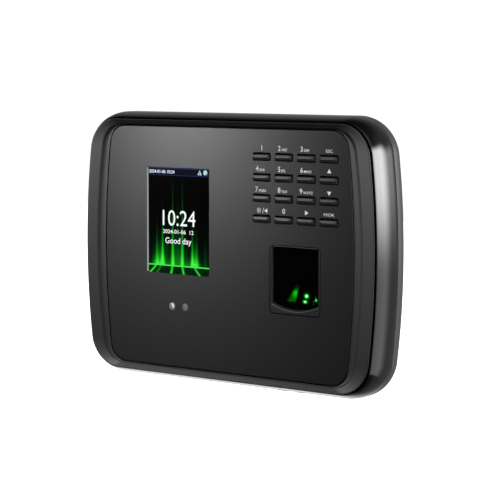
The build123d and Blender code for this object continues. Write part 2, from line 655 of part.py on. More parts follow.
# ---------------------------------------------------------------- export
def parts():
    """Every piece of the terminal, by node name."""
    pieces = {
        "front_panel": front_panel(),
        "front_bezel": front_bezel(),
        "side_shell": side_shell(),
        "rear_cover": rear_cover(),
        "wall_plate": wall_plate(),
        "locking_screw": locking_screw(),
        "case_screws": case_screws(),
        "board_screws": board_screws(),
        "module_screws": module_screws(),
        "screen_window": screen_window(),
        "lcd_glass": lcd_glass(),
        "lcd_backlight": lcd_backlight(),
        "lcd_bracket": lcd_bracket(),
        "lcd_flex": lcd_flex(),
        "keypad_mat": keypad_mat(),
        "keypad_board": keypad_board(),
        "keypad_flex": keypad_flex(),
        "sensor_surround": sensor_surround(),
        "sensor_prism": sensor_prism(),
        "sensor_housing": sensor_housing(),
        "sensor_leds": sensor_leds(),
        "sensor_lens": sensor_lens(),
        "sensor_board": sensor_board(),
        "sensor_flex": sensor_flex(),
        "status_lens_clear": status_lens(STATUS_X[0]),
        "status_lens_frosted": status_lens(STATUS_X[1]),
        "status_leds": status_leds(),
        "indicator_board": indicator_board(),
        "main_board": main_board(),
        "shield_can": shield_can(),
        "processor": processor(),
        "ribbon_connectors": ribbon_connectors(),
        "coin_cell_holder": coin_cell_holder(),
        "coin_cell": coin_cell(),
        "relay": relay(),
        "capacitors": capacitors(),
        "terminal_blocks": terminal_blocks(),
        "network_header": network_header(),
        "usb_port": usb_port(),
        "usb_cover": usb_cover(),
        "speaker": speaker(),
        "push_switches": push_switches(),
        "tamper_button": tamper_button(),
        "reset_button": reset_button(),
    }
    pieces.update({name: key(x, z) for name, x, z in key_places()})
    return pieces


os.makedirs("parts", exist_ok=True)
for name, piece in parts().items():
    shape = Compound(children=piece) if isinstance(piece, list) else piece
    export_step(shape, f"parts/{name}.step")
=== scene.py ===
import math

import bmesh
import bpy
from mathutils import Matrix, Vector


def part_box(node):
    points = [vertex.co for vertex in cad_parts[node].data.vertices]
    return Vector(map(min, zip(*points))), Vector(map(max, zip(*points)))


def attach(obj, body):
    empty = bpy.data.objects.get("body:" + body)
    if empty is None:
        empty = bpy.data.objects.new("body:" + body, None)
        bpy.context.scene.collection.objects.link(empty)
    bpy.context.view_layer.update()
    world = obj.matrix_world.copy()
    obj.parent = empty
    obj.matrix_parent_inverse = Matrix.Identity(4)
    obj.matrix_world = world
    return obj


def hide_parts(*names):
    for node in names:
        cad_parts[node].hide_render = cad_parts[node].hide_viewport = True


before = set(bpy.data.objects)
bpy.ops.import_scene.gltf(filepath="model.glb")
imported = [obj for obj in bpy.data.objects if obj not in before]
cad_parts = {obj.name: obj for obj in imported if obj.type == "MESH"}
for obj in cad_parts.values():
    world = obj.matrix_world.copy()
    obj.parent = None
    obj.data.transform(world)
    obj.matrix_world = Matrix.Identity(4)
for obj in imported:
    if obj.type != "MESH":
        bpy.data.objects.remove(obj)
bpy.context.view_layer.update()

# Everything is in metres, in the frame of the CAD model: X to the viewer's right, Y into the
# wall, Z up. A size in millimetres is multiplied by MM.
MM = 0.001


# ---------------------------------------------------------------- places taken from the frame
def middle(node):
    low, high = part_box(node)
    return (Vector(low) + Vector(high)) / 2


def corners(node):
    low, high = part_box(node)
    return Vector(low), Vector(high)


PANEL_LOW, PANEL_HIGH = corners("front_panel")
FACE_Y = PANEL_LOW.y
BEZEL_HIGH = corners("front_bezel")[1]
SHELL_LOW, SHELL_HIGH = corners("side_shell")
WINDOW_Y = corners("screen_window")[0].y


# ---------------------------------------------------------------- outlines of the case
class Outline:
    """Rounded rectangle with straight top and bottom and bowed sides, centred on the panel."""

    def __init__(self, half_width, half_height, side_radius, corner_radius):
        self.values = (half_width, half_height, side_radius, corner_radius)

    def grown(self, amount):
        return Outline(*(value + amount for value in self.values))

    def towards(self, other, share):
        return Outline(*(a + (b - a) * share for a, b in zip(self.values, other.values)))

    def points(self):
        """Points round the outline, counter-clockwise seen from the front, as (x, z)."""
        side, corner, edge = 30, 26, 16
        half_width, half_height, side_radius, corner_radius = self.values
        side_x = half_width - side_radius
        reach = side_radius - corner_radius
        corner_z = half_height - corner_radius
        corner_x = side_x + math.sqrt(reach**2 - corner_z**2)
        lean = math.asin(corner_z / reach)
        quarter = []
        for i in range(side):
            angle = lean * i / side
            quarter.append((side_x + side_radius * math.cos(angle), side_radius * math.sin(angle)))
        for i in range(corner):
            angle = lean + (math.pi / 2 - lean) * i / corner
            quarter.append((corner_x + corner_radius * math.cos(angle),
                            corner_z + corner_radius * math.sin(angle)))
        for i in range(edge + 1):
            quarter.append((corner_x * (1 - i / edge), half_height))
        right_top = quarter
        left_top = [(-x, z) for x, z in reversed(quarter[:-1])]
        left_bottom = [(-x, -z) for x, z in quarter[1:]]
        right_bottom = [(x, -z) for x, z in reversed(quarter[1:-1])]
        return right_top + left_top + left_bottom + right_bottom


SEAT_GAP = 0.6 * MM         # between the panel's edge and the bezel that frames it
SEAT = Outline(PANEL_HIGH.x + SEAT_GAP, PANEL_HIGH.z + SEAT_GAP, 458.6 * MM, 10.6 * MM)
CREST = Outline(88.3 * MM, 66.2 * MM, 364 * MM, 14 * MM)
BEZEL = Outline(BEZEL_HIGH.x, BEZEL_HIGH.z, 440 * MM, 18.5 * MM)
SWELL = SHELL_HIGH.x - BEZEL_HIGH.x


# ---------------------------------------------------------------- mesh helpers
def new_piece(name, mesh, material, body="housing", smooth_angle=35.0):
    """Wrap a mesh as a piece that rides on a body."""
    piece = bpy.data.objects.new(name, mesh)
    bpy.context.scene.collection.objects.link(piece)
    mesh.materials.clear()
    mesh.materials.append(material)
    smooth(mesh, smooth_angle)
    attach(piece, body)
    return piece


def smooth(mesh, angle):
    """Smooth shading that keeps edges sharper than the angle."""
    work = bmesh.new()
    work.from_mesh(mesh)
    for face in work.faces:
        face.smooth = True
    for edge in work.edges:
        sharp = len(edge.link_faces) == 2 and edge.calc_face_angle(0.0) > math.radians(angle)
        edge.smooth = not sharp
    work.to_mesh(mesh)
    work.free()


def mesh_from(name, vertices, faces):
    mesh = bpy.data.meshes.new(name)
    mesh.from_pydata(vertices, [], faces)
    mesh.validate()
    work = bmesh.new()
    work.from_mesh(mesh)
    bmesh.ops.recalc_face_normals(work, faces=work.faces)
    work.to_mesh(mesh)
    work.free()
    return mesh


def ring_mesh(name, sections):
    """Closed band through a list of (outline, y) sections, the last joined to the first."""
    vertices = []
    for outline, y in sections:
        vertices += [(x, y, z) for x, z in outline.points()]
    count = len(sections[0][0].points())
    faces = []
    for s in range(len(sections)):
        here, there = s * count, ((s + 1) % len(sections)) * count
        for i in range(count):
            j = (i + 1) % count
            faces.append((here + i, here + j, there + j, there + i))
    return mesh_from(name, vertices, faces)


def rounded_rectangle(width, height, radius):
    """Corner points of a rounded rectangle about the origin, counter-clockwise."""
    steps = 6
    points = []
    for quarter, (sx, sz) in enumerate(((1, 1), (-1, 1), (-1, -1), (1, -1))):
        for i in range(steps + 1):
            angle = math.pi / 2 * (quarter + i / steps)
            points.append((sx * (width / 2 - radius) + radius * math.cos(angle),
                           sz * (height / 2 - radius) + radius * math.sin(angle)))
    return points


def plate_mesh(name, loops):
    """A closed solid through loops of (points, y), with flat ends."""
    vertices = []
    for points, y in loops:
        vertices += [(x, y, z) for x, z in points]
    count = len(loops[0][0])
    faces = [tuple(range(count)), tuple(range((len(loops) - 1) * count, len(loops) * count))]
    for s in range(len(loops) - 1):
        for i in range(count):
            j = (i + 1) % count
            faces.append((s * count + i, s * count + j, (s + 1) * count + j, (s + 1) * count + i))
    return mesh_from(name, vertices, faces)


def moved(points, x, z):
    return [(px + x, pz + z) for px, pz in points]


def lathe_mesh(name, x, z, profile):
    """A turned solid about an axis along Y, from (radius, y) pairs, with flat ends."""
    steps = 48
    vertices = []
    for radius, y in profile:
        for i in range(steps):
            angle = 2 * math.pi * i / steps
            vertices.append((x + radius * math.cos(angle), y, z + radius * math.sin(angle)))
    faces = [tuple(range(steps)), tuple(range((len(profile) - 1) * steps, len(profile) * steps))]
    for s in range(len(profile) - 1):
        for i in range(steps):
            j = (i + 1) % steps
            faces.append((s * steps + i, s * steps + j, (s + 1) * steps + j, (s + 1) * steps + i))
    return mesh_from(name, vertices, faces)


def text_mesh(name, words, size, x, y, z, depth, align="CENTER", squeeze=1.0, bold=0.0):
    """Lettering as a thin solid that faces the viewer, with its base line at z. Squeeze
    scales its width, and bold is how far its outlines are grown."""
    curve = bpy.data.curves.new(name, "FONT")
    curve.body = words
    curve.size = size
    curve.align_x = align
    curve.extrude = depth / 2
    curve.offset = bold
    curve.resolution_u = 6
    holder = bpy.data.objects.new(name + "_outline", curve)
    mesh = bpy.data.meshes.new_from_object(holder)
    bpy.data.objects.remove(holder)
    bpy.data.curves.remove(curve)
    for vertex in mesh.vertices:
        across, up, out = vertex.co
        vertex.co = (x + across * squeeze, y - out, z + up)
    # A few faces keep the side they come with, so the recalculation doesn't undo all of this.
    mesh.flip_normals()
    work = bmesh.new()
    work.from_mesh(mesh)
    bmesh.ops.recalc_face_normals(work, faces=work.faces)
    work.to_mesh(mesh)
    work.free()
    return mesh


# ---------------------------------------------------------------- materials
class Material:
    """A node material on a Principled shader, in the coordinates of the CAD frame."""

    def __init__(self, name, **values):
        self.data = bpy.data.materials.new(name)
        self.data.use_nodes = True
        self.nodes = self.data.node_tree.nodes
        self.links = self.data.node_tree.links
        self.shader = self.nodes["Principled BSDF"]
        for socket, value in values.items():
            self.set(socket.replace("_", " "), value)
        self.place = self.nodes.new("ShaderNodeTexCoord").outputs["Object"]

    def set(self, socket, value):
        if isinstance(value, tuple) and len(value) == 3:
            value = (*value, 1.0)
        self.shader.inputs[socket].default_value = value

    def link(self, source, target):
        self.links.new(source, target)

    def noise(self, size, detail=2.0, stretch=(1, 1, 1)):
        """Noise whose features are about size metres across, as a value from 0 to 1."""
        mapping = self.nodes.new("ShaderNodeMapping")
        mapping.inputs["Scale"].default_value = stretch
        self.link(self.place, mapping.inputs["Vector"])
        node = self.nodes.new("ShaderNodeTexNoise")
        node.inputs["Scale"].default_value = 1 / size
        node.inputs["Detail"].default_value = detail
        self.link(mapping.outputs["Vector"], node.inputs["Vector"])
        return node.outputs["Fac"]

    def ramp(self, value, low, high):
        """Map 0 to 1 onto a range of values."""
        node = self.nodes.new("ShaderNodeMapRange")
        node.inputs["To Min"].default_value = low
        node.inputs["To Max"].default_value = high
        self.link(value, node.inputs["Value"])
        return node.outputs["Result"]

    def tint(self, value, dark, light):
        """Blend two colours by a value."""
        node = self.nodes.new("ShaderNodeMix")
        node.data_type = "RGBA"
        node.inputs["A"].default_value = (*dark, 1.0)
        node.inputs["B"].default_value = (*light, 1.0)
        self.link(value, node.inputs["Factor"])
        return node.outputs["Result"]

    def blend(self, share, under, over):
        """Lay a plain colour over another by a share."""
        node = self.nodes.new("ShaderNodeMix")
        node.data_type = "RGBA"
        self.link(under, node.inputs["A"])
        node.inputs["B"].default_value = (*over, 1.0)
        self.link(share, node.inputs["Factor"])
        return node.outputs["Result"]

    def crowned(self, grain, height, crown):
        """Grain on a surface that bows very slightly, as moulded panels do, in metres."""
        sums = NodeSums(self.data.node_tree)
        split = self.nodes.new("ShaderNodeSeparateXYZ")
        self.link(self.place, split.inputs["Vector"])
        x, _, z = split.outputs
        bow_x = sums.op("MULTIPLY", sums.op("MULTIPLY", x, x), -crown[0] / 2)
        bow_z = sums.op("MULTIPLY", sums.op("MULTIPLY", z, z), -crown[1] / 2)
        return sums.op("ADD", sums.op("MULTIPLY", grain, height), sums.op("ADD", bow_x, bow_z))

    def bump(self, value, height):
        node = self.nodes.new("ShaderNodeBump")
        node.inputs["Distance"].default_value = height
        node.inputs["Strength"].default_value = 1.0
        self.link(value, node.inputs["Height"])
        self.link(node.outputs["Normal"], self.shader.inputs["Normal"])


class NodeSums:
    """Arithmetic on node values; a plain number may stand for a value."""

    def __init__(self, tree):
        self.tree = tree

    def op(self, kind, *values):
        node = self.tree.nodes.new("ShaderNodeMath")
        node.operation = kind
        for socket, value in zip(node.inputs, values):
            if isinstance(value, (int, float)):
                socket.default_value = value
            else:
                self.tree.links.new(value, socket)
        return node.outputs[0]

    def degrees(self, value):
        return self.op("DEGREES", value)

    def step(self, value, start, end):
        """0 at start, 1 at end, smooth between; start may be the larger."""
        node = self.tree.nodes.new("ShaderNodeMapRange")
        node.interpolation_type = "SMOOTHSTEP"
        backwards = start > end
        node.inputs["From Min"].default_value = min(start, end)
        node.inputs["From Max"].default_value = max(start, end)
        node.inputs["To Min"].default_value = 1.0 if backwards else 0.0
        node.inputs["To Max"].default_value = 0.0 if backwards else 1.0
        self.tree.links.new(value, node.inputs["Value"])
        return node.outputs["Result"]

    def hump(self, value, centre, width):
        """A bell curve, 1 at the centre."""
        off = self.op("DIVIDE", self.op("SUBTRACT", value, centre), width)
        return self.op("POWER", math.e, self.op("MULTIPLY", self.op("MULTIPLY", off, off), -1.0))

    def bell(self, off, sharpness):
        """A bell curve of a distance that is never negative, 1 at no distance."""
        return self.op("POWER", math.e, self.op("MULTIPLY", self.op("POWER", off, 2.0), -sharpness))


def shade(colour, factor):
    return tuple(channel * factor for channel in colour)


def plastic(name, colour, roughness, grain=0.35 * MM, height=0.012 * MM, spread=0.06,
            crown=None, well=None, **more):
    """Moulded plastic: fine grain in the bump, faint clouding in colour, and roughness that
    varies by spread. Grain is the size of the texture and height its depth. A crown is how
    fast the surface leans away from the middle, per metre across and per metre up. A well is
    the depth below the panel's face past which the plastic is painted black, as painted shade
    in slots and recesses."""
    clouding = 0.10
    material = Material(name, **more)
    cloud = material.noise(30 * MM, 3.0)
    fine = material.noise(grain, 2.0)
    base = material.tint(cloud, shade(colour, 1 - clouding), shade(colour, 1 + clouding))
    rough = material.ramp(fine, roughness - spread, roughness + spread)
    # Painted shade: deeper than the well, the plastic is painted black and made rough, standing in
    # for the shade in slots and recesses.
    if well:
        sums = NodeSums(material.data.node_tree)
        split = material.nodes.new("ShaderNodeSeparateXYZ")
        material.link(material.place, split.inputs["Vector"])
        painted_shade = sums.op("GREATER_THAN", split.outputs["Y"], FACE_Y + well)
        base = material.blend(painted_shade, base, (0.001, 0.001, 0.001))
        rough = sums.op("MAXIMUM", rough, sums.op("MULTIPLY", painted_shade, 0.8))
    material.link(base, material.shader.inputs["Base Color"])
    material.link(rough, material.shader.inputs["Roughness"])
    if crown:
        material.bump(material.crowned(fine, height, crown), 1.0)
    else:
        material.bump(fine, height)
    return material.data


def metal(name, colour, roughness, stretch=(1, 1, 30)):
    """Plated sheet with rolling marks, packed close along the axis where stretch is large."""
    material = Material(name, Metallic=1.0)
    marks = material.noise(0.9 * MM, 3.0, stretch)
    blotch = material.noise(12 * MM, 2.0)
    material.link(material.tint(blotch, shade(colour, 0.85), shade(colour, 1.08)),
                  material.shader.inputs["Base Color"])
    material.link(material.ramp(marks, roughness - 0.08, roughness + 0.1),
                  material.shader.inputs["Roughness"])
    material.bump(marks, 0.006 * MM)
    return material.data


def glow(name, colour, strength, base=(0.0, 0.0, 0.0)):
    """Something lit, with a faint unevenness."""
    material = Material(name, Base_Color=base, Roughness=0.4, Specular_IOR_Level=0.02)
    material.set("Emission Strength", strength)
    uneven = material.noise(1.5 * MM, 2.0)
    material.link(material.tint(uneven, shade(colour, 0.9), colour),
                  material.shader.inputs["Emission Color"])
    return material.data


def circuit_board(name):
    """Solder mask with darker and lighter copper tracks showing through."""
    material = Material(name, Roughness=0.35)
    tracks = material.nodes.new("ShaderNodeTexBrick")
    tracks.inputs["Scale"].default_value = 180.0
    tracks.inputs["Color1"].default_value = (0.012, 0.105, 0.045, 1)
    tracks.inputs["Color2"].default_value = (0.018, 0.150, 0.062, 1)
    tracks.inputs["Mortar"].default_value = (0.030, 0.220, 0.090, 1)
    tracks.inputs["Mortar Size"].default_value = 0.03
    turn = material.nodes.new("ShaderNodeMapping")
    turn.inputs["Rotation"].default_value = (math.pi / 2, 0, 0)
    material.link(material.place, turn.inputs["Vector"])
    material.link(turn.outputs["Vector"], tracks.inputs["Vector"])
    material.link(tracks.outputs["Color"], material.shader.inputs["Base Color"])
    material.bump(tracks.outputs["Fac"], 0.03 * MM)
    return material.data


def clear(name, colour, roughness=0.02, ior=1.49):
    """Clear moulded plastic or glass."""
    material = Material(name, Base_Color=colour, IOR=ior)
    material.set("Transmission Weight", 1.0)
    fine = material.noise(4 * MM, 2.0)
    material.link(material.ramp(fine, roughness * 0.6, roughness * 1.6),
                  material.shader.inputs["Roughness"])
    return material.data


# The lamps' spots in the sensor's glass, in millimetres: across, up, half width, half height,
# and their brightness.
SENSOR_SPOTS = (
    (52.3, -20.4, 1.15, 1.0, 1.5), (51.4, -23.4, 1.15, 0.75, 1.3), (58.3, -22.1, 0.6, 0.75, 1.0),
    (56.8, -23.0, 0.3, 0.35, 0.4), (56.6, -24.3, 0.3, 0.3, 0.3), (57.9, -20.6, 0.25, 0.3, 0.35),
)


def prism_glass(name):
    """Dark glass with the glow of the green lamps below it: a patch that leans to the right
    and narrows upwards, brightest round its core, and six spots."""
    foot, foot_left, foot_right = -24.0, 39.4, 45.5
    lean_left, lean_right = 0.66, 0.27
    material = Material(name, Base_Color=(0.001, 0.001, 0.001), Roughness=0.06,
                        Specular_IOR_Level=0.35)
    material.set("Emission Strength", 1.0)
    sums = NodeSums(material.data.node_tree)
    split = material.nodes.new("ShaderNodeSeparateXYZ")
    material.link(material.place, split.inputs["Vector"])
    across = sums.op("MULTIPLY", split.outputs["X"], 1 / MM)
    up = sums.op("MULTIPLY", split.outputs["Z"], 1 / MM)
    front = sums.op("LESS_THAN", split.outputs["Y"], FACE_Y + 2.2 * MM)
    rise = sums.op("ADD", up, -foot)
    left_edge = sums.op("ADD", foot_left, sums.op("MULTIPLY", rise, lean_left))
    left = sums.op("SUBTRACT", across, left_edge)
    right_edge = sums.op("ADD", foot_right, sums.op("MULTIPLY", rise, lean_right))
    right = sums.op("SUBTRACT", right_edge, across)
    patch = sums.op("MULTIPLY", sums.step(left, -0.4, 2.0), sums.step(right, -0.3, 0.6))
    patch = sums.op("MULTIPLY", patch, sums.step(up, -24.4, -23.4))
    patch = sums.op("MULTIPLY", patch, sums.step(up, -14.0, -19.0))
    core = sums.op("MULTIPLY", sums.hump(across, 45.2, 1.8), sums.hump(up, -19.4, 2.0))
    patch = sums.op("MULTIPLY", patch, sums.op("ADD", 0.20, sums.op("MULTIPLY", core, 0.42)))
    spots = None
    for x, z, wide, high, power in SENSOR_SPOTS:
        spot = sums.op("MULTIPLY", sums.hump(across, x, wide), sums.hump(up, z, high))
        spot = sums.op("MULTIPLY", spot, power)
        spots = spot if spots is None else sums.op("ADD", spots, spot)
    light = sums.op("MULTIPLY", sums.op("ADD", patch, spots), front)
    ramp = material.nodes.new("ShaderNodeValToRGB")
    ramp.color_ramp.elements[0].color = (0.0, 0.0, 0.0, 1)
    ramp.color_ramp.elements[1].color = (0.55, 1.0, 0.75, 1)
    for position, colour in ((0.15, (0.0, 0.04, 0.0, 1)), (0.5, (0.0, 0.42, 0.0, 1)),
                             (0.8, (0.0, 0.85, 0.02, 1))):
        ramp.color_ramp.elements.new(position).color = colour
    material.link(light, ramp.inputs["Fac"])
    material.link(ramp.outputs["Color"], material.shader.inputs["Emission Color"])
    fine = material.noise(4 * MM, 2.0)
    material.link(material.ramp(fine, 0.03, 0.09), material.shader.inputs["Roughness"])
    return material.data


# Deeper than its well the panel is painted black: painted shade in its slots and recesses.
PANEL_PLASTIC = plastic("panel_plastic", (0.0085, 0.0085, 0.0092), 0.30, grain=0.28 * MM,
                        height=0.003 * MM, crown=(0.44, -0.24), well=0.25 * MM)
BEZEL_PLASTIC = plastic("bezel_plastic", (0.015, 0.015, 0.016), 0.36, grain=0.3 * MM,
                        height=0.003 * MM)
SHELL_PLASTIC = plastic("shell_plastic", (0.003, 0.003, 0.0033), 0.12, grain=0.8 * MM,
                        height=0.002 * MM, spread=0.02)
COVER_PLASTIC = plastic("cover_plastic", (0.024, 0.024, 0.025), 0.34, grain=0.4 * MM,
                        height=0.02 * MM)
# Deeper than its well the sensor's surround is painted black: painted shade in its opening.
SENSOR_PLASTIC = plastic("sensor_plastic", (0.008, 0.008, 0.0085), 0.30, grain=0.3 * MM,
                         height=0.003 * MM, well=0.3 * MM)
# Light grey for the bead along the sensor's opening: a painted highlight.
LIP_PAINTED_HIGHLIGHT = plastic("lip_painted_highlight", (0.16, 0.16, 0.17), 0.14, grain=1.2 * MM, height=0.04 * MM)
KEY_PLASTIC = plastic("key_plastic", (0.030, 0.033, 0.042), 0.28, grain=0.3 * MM,
                      height=0.004 * MM)
# Plain black for the keys' flanges: painted shade that stands in for the shade deep in the slots.
SLOT_SHADE_BLACK = plastic("slot_shade_black", (0.002, 0.002, 0.002), 0.7, Specular_IOR_Level=0.1)
BLACK_PLASTIC = plastic("black_plastic", (0.012, 0.012, 0.012), 0.5)
WHITE_NYLON = plastic("white_nylon", (0.70, 0.69, 0.66), 0.45)
GREEN_NYLON = plastic("green_nylon", (0.030, 0.210, 0.080), 0.42)
BLUE_CASE = plastic("blue_case", (0.015, 0.06, 0.25), 0.3)
CHIP_EPOXY = plastic("chip_epoxy", (0.02, 0.02, 0.021), 0.55, grain=0.2 * MM)
SILICONE = plastic("silicone", (0.62, 0.63, 0.63), 0.5, Subsurface_Weight=0.2)
POLYIMIDE = plastic("polyimide", (0.50, 0.22, 0.03), 0.3, grain=1.0 * MM)
# The print's own light grey, plus a faint glow that brightens it: painted light.
LABEL_INK_PAINTED_GLOW = plastic("label_ink_painted_glow", (0.78, 0.79, 0.80), 0.55, grain=0.2 * MM, height=0.004 * MM,
                    Emission_Color=(0.8, 0.8, 0.82), Emission_Strength=0.28)
ZINC = metal("zinc_plate", (0.62, 0.63, 0.64), 0.38)
SCREW_STEEL = metal("screw_steel", (0.42, 0.42, 0.43), 0.32, stretch=(1, 30, 1))
TIN = metal("tin_plate", (0.70, 0.70, 0.70), 0.28)
BOARD_MASK = circuit_board("solder_mask")
CLEAR_PLASTIC = clear("clear_plastic", (1.0, 1.0, 1.0))
PRISM_GLASS = prism_glass("prism_glass")
LENS_GLASS = clear("lens_glass", (0.70, 0.75, 0.95), 0.01, 1.7)
FROSTED = plastic("frosted_lens", (0.20, 0.21, 0.225), 0.42, grain=0.4 * MM)
LAMP_WHITE = plastic("lamp_body", (0.80, 0.80, 0.76), 0.35)
GREEN_LAMP = glow("green_lamp", (0.10, 1.0, 0.12), 12.0)
# Faint grey glow for the window's left edge: painted light, not a lamp.
WINDOW_EDGE_PAINTED_LIGHT = glow("window_edge", (0.36, 0.36, 0.38), 0.75, base=(0.05, 0.05, 0.05))


# ---------------------------------------------------------------- materials of the CAD nodes
NODE_MATERIALS = {
    "front_panel": PANEL_PLASTIC, "rear_cover": COVER_PLASTIC, "wall_plate": ZINC,
    "locking_screw": SCREW_STEEL, "case_screws": SCREW_STEEL, "board_screws": SCREW_STEEL,
    "module_screws": SCREW_STEEL, "screen_window": CLEAR_PLASTIC, "lcd_glass": BLACK_PLASTIC,
    "lcd_backlight": WHITE_NYLON, "lcd_bracket": ZINC, "lcd_flex": POLYIMIDE,
    "keypad_mat": SILICONE, "keypad_board": BOARD_MASK, "keypad_flex": POLYIMIDE,
    "sensor_surround": SENSOR_PLASTIC, "sensor_prism": PRISM_GLASS, "sensor_housing": BLACK_PLASTIC,
    "sensor_leds": GREEN_LAMP, "sensor_lens": LENS_GLASS, "sensor_board": BOARD_MASK,
    "sensor_flex": POLYIMIDE, "status_lens_clear": CLEAR_PLASTIC, "status_lens_frosted": FROSTED,
    "status_leds": LAMP_WHITE, "indicator_board": BOARD_MASK, "main_board": BOARD_MASK,
    "shield_can": TIN, "processor": CHIP_EPOXY, "ribbon_connectors": WHITE_NYLON,
    "coin_cell_holder": BLACK_PLASTIC, "coin_cell": TIN, "relay": BLUE_CASE, "capacitors": TIN,
    "terminal_blocks": GREEN_NYLON, "network_header": WHITE_NYLON, "usb_port": TIN,
    "usb_cover": SHELL_PLASTIC, "speaker": BLACK_PLASTIC, "push_switches": BLACK_PLASTIC,
    "tamper_button": WHITE_NYLON, "reset_button": WHITE_NYLON,
    "front_bezel": BEZEL_PLASTIC, "side_shell": SHELL_PLASTIC,
}
KEY_NODES = [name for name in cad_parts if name.startswith("key_")]
NODE_MATERIALS.update({name: KEY_PLASTIC for name in KEY_NODES})

for node, material in NODE_MATERIALS.items():
    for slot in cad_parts[node].material_slots:
        slot.material = material


# ---------------------------------------------------------------- bezel and side shell
def bezel_sections():
    """From the panel's seat up the cove to the crest, over the band and down the outer edge."""
    crest_y = FACE_Y - 0.45 * MM
    band_y = FACE_Y - 1.15 * MM
    seat_y = FACE_Y + 0.15 * MM
    back_y = FACE_Y + 3.4 * MM
    edge, edge_steps = 0.15 * MM, 7
    cove_steps, band_steps = 14, 8
    sections = [(SEAT, back_y), (SEAT, seat_y + edge), (SEAT.grown(0.05 * MM), seat_y)]
    for i in range(1, cove_steps + 1):
        share = 1 - i / cove_steps
        rise = (1 - share) ** 2
        sections.append((CREST.towards(SEAT, share), seat_y + (crest_y - seat_y) * rise))
    rim = BEZEL.grown(-0.25 * MM)
    band_edge = rim.grown(-edge)
    for i in range(1, band_steps + 1):
        share = i / band_steps
        sections.append((CREST.towards(band_edge, share),
                         crest_y + (band_y - crest_y) * share))
    for i in range(1, edge_steps + 1):
        angle = math.pi / 2 * i / edge_steps
        sections.append((rim.grown(edge * (math.sin(angle) - 1)),
                         band_y + edge * (1 - math.cos(angle))))
    undercut = rim.grown(-1.0 * MM)
    sections.append((undercut, band_y + 0.8 * MM))
    sections.append((undercut, back_y))
    return sections


def shell_sections():
    """The swelling side wall, from the dark line behind the bezel to the rear parting line."""
    gap = 0.55 * MM
    wall = 1.8 * MM
    front_y, back_y = SHELL_LOW.y, SHELL_HIGH.y
    inside_y = FACE_Y + 4.0 * MM
    depth = FACE_Y + 12.0 * MM - front_y
    sections = [(BEZEL.grown(gap), inside_y)]
    # The swelling is the end of a quarter circle, from the angle cut onwards.
    cut, steps = 0.45, 28
    for i in range(steps + 1):
        angle = cut + (math.pi / 2 - cut) * i / steps
        out = (math.sin(angle) - math.sin(cut)) / (1 - math.sin(cut))
        back = (math.cos(cut) - math.cos(angle)) / math.cos(cut)
        sections.append((BEZEL.grown(gap + (SWELL - gap) * out), front_y + depth * back))
    edge = 0.25 * MM
    sections.append((BEZEL.grown(SWELL), back_y - edge))
    sections.append((BEZEL.grown(SWELL - 0.3 * edge), back_y - 0.3 * edge))
    sections.append((BEZEL.grown(SWELL - edge), back_y))
    sections.append((BEZEL.grown(SWELL - wall), back_y))
    sections.append((BEZEL.grown(SWELL - wall), inside_y))
    return sections


bezel = new_piece("bezel_frame", ring_mesh("bezel_frame", bezel_sections()), BEZEL_PLASTIC,
                  smooth_angle=28.0)
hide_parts("front_bezel")
shell = new_piece("side_wall", ring_mesh("side_wall", shell_sections()), SHELL_PLASTIC,
                  smooth_angle=28.0)
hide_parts("side_shell")


# ---------------------------------------------------------------- screen picture
# The picture is drawn just in front of the window. Its layers lie one over another, and
# places on it are given in millimetres across from its left edge and down from its top.
SCREEN_Y = WINDOW_Y - 0.03 * MM
LAYER_STEP, LAYER_DEPTH = 0.004 * MM, 0.003 * MM
TEXT_OUT, TEXT_DEPTH = 0.03 * MM, 0.004 * MM
CAPITAL_SHARE = 0.70        # a capital's height as a share of the font size
PICTURE_W, PICTURE_H = 43.2, 57.6
WINDOW_MID = middle("screen_window")
SCREEN_LEFT = WINDOW_MID.x - PICTURE_W * MM / 2
SCREEN_TOP = WINDOW_MID.z + PICTURE_H * MM / 2


def screen_x(across):
    return SCREEN_LEFT + across * MM


def screen_z(down):
    return SCREEN_TOP - down * MM


def flat_shape(name, points, material, layer):
    """A thin lit shape on the display, from (across, down) points in millimetres."""
    y = SCREEN_Y - layer * LAYER_STEP
    loop = [(screen_x(across), screen_z(down)) for across, down in points]
    mesh = plate_mesh(name, [(loop, y), (loop, y + LAYER_DEPTH)])
    return new_piece(name, mesh, material)


def bar(name, left, right, top, bottom, material, layer):
    return flat_shape(name, [(left, bottom), (right, bottom), (right, top), (left, top)],
                      material, layer)


LINE_DOWN = 53.3            # the line that the beams stand on, down from the top
# Beams above the line: centre across, half width at the line, reach up the screen,
# brightness, share of dots.
BEAMS = (
    (6.0, 2.2, 30.0, 0.75, 0.0), (9.9, 1.5, 40.0, 1.1, 0.0), (17.0, 1.2, 60.0, 0.95, 0.0),
    (23.7, 1.2, 58.0, 0.95, 0.0), (30.6, 1.2, 34.0, 0.95, 0.0), (33.4, 2.2, 26.0, 0.9, 0.3),
    (26.9, 1.0, 24.0, 0.3, 0.6), (20.4, 5.0, 52.0, 0.2, 0.0), (12.6, 4.0, 36.0, 0.18, 0.0),
    (8.0, 4.6, 22.0, 0.42, 0.0), (31.6, 5.0, 20.0, 0.42, 0.0), (20.4, 11.0, 16.0, 0.2, 0.0),
    (39.5, 1.2, 26.0, 0.2, 0.7), (3.4, 1.2, 18.0, 0.25, 0.6),
)
DOT_PITCH = 1.3
# Streaks below the line: centre across from FAN_CENTRE at the line, brightness.
STREAKS = ((-14.5, 0.9), (-11.0, 0.35), (-3.2, 0.8), (3.6, 0.8), (12.0, 0.8))
FAN_CENTRE, FAN_SPREAD = 20.0, 0.055


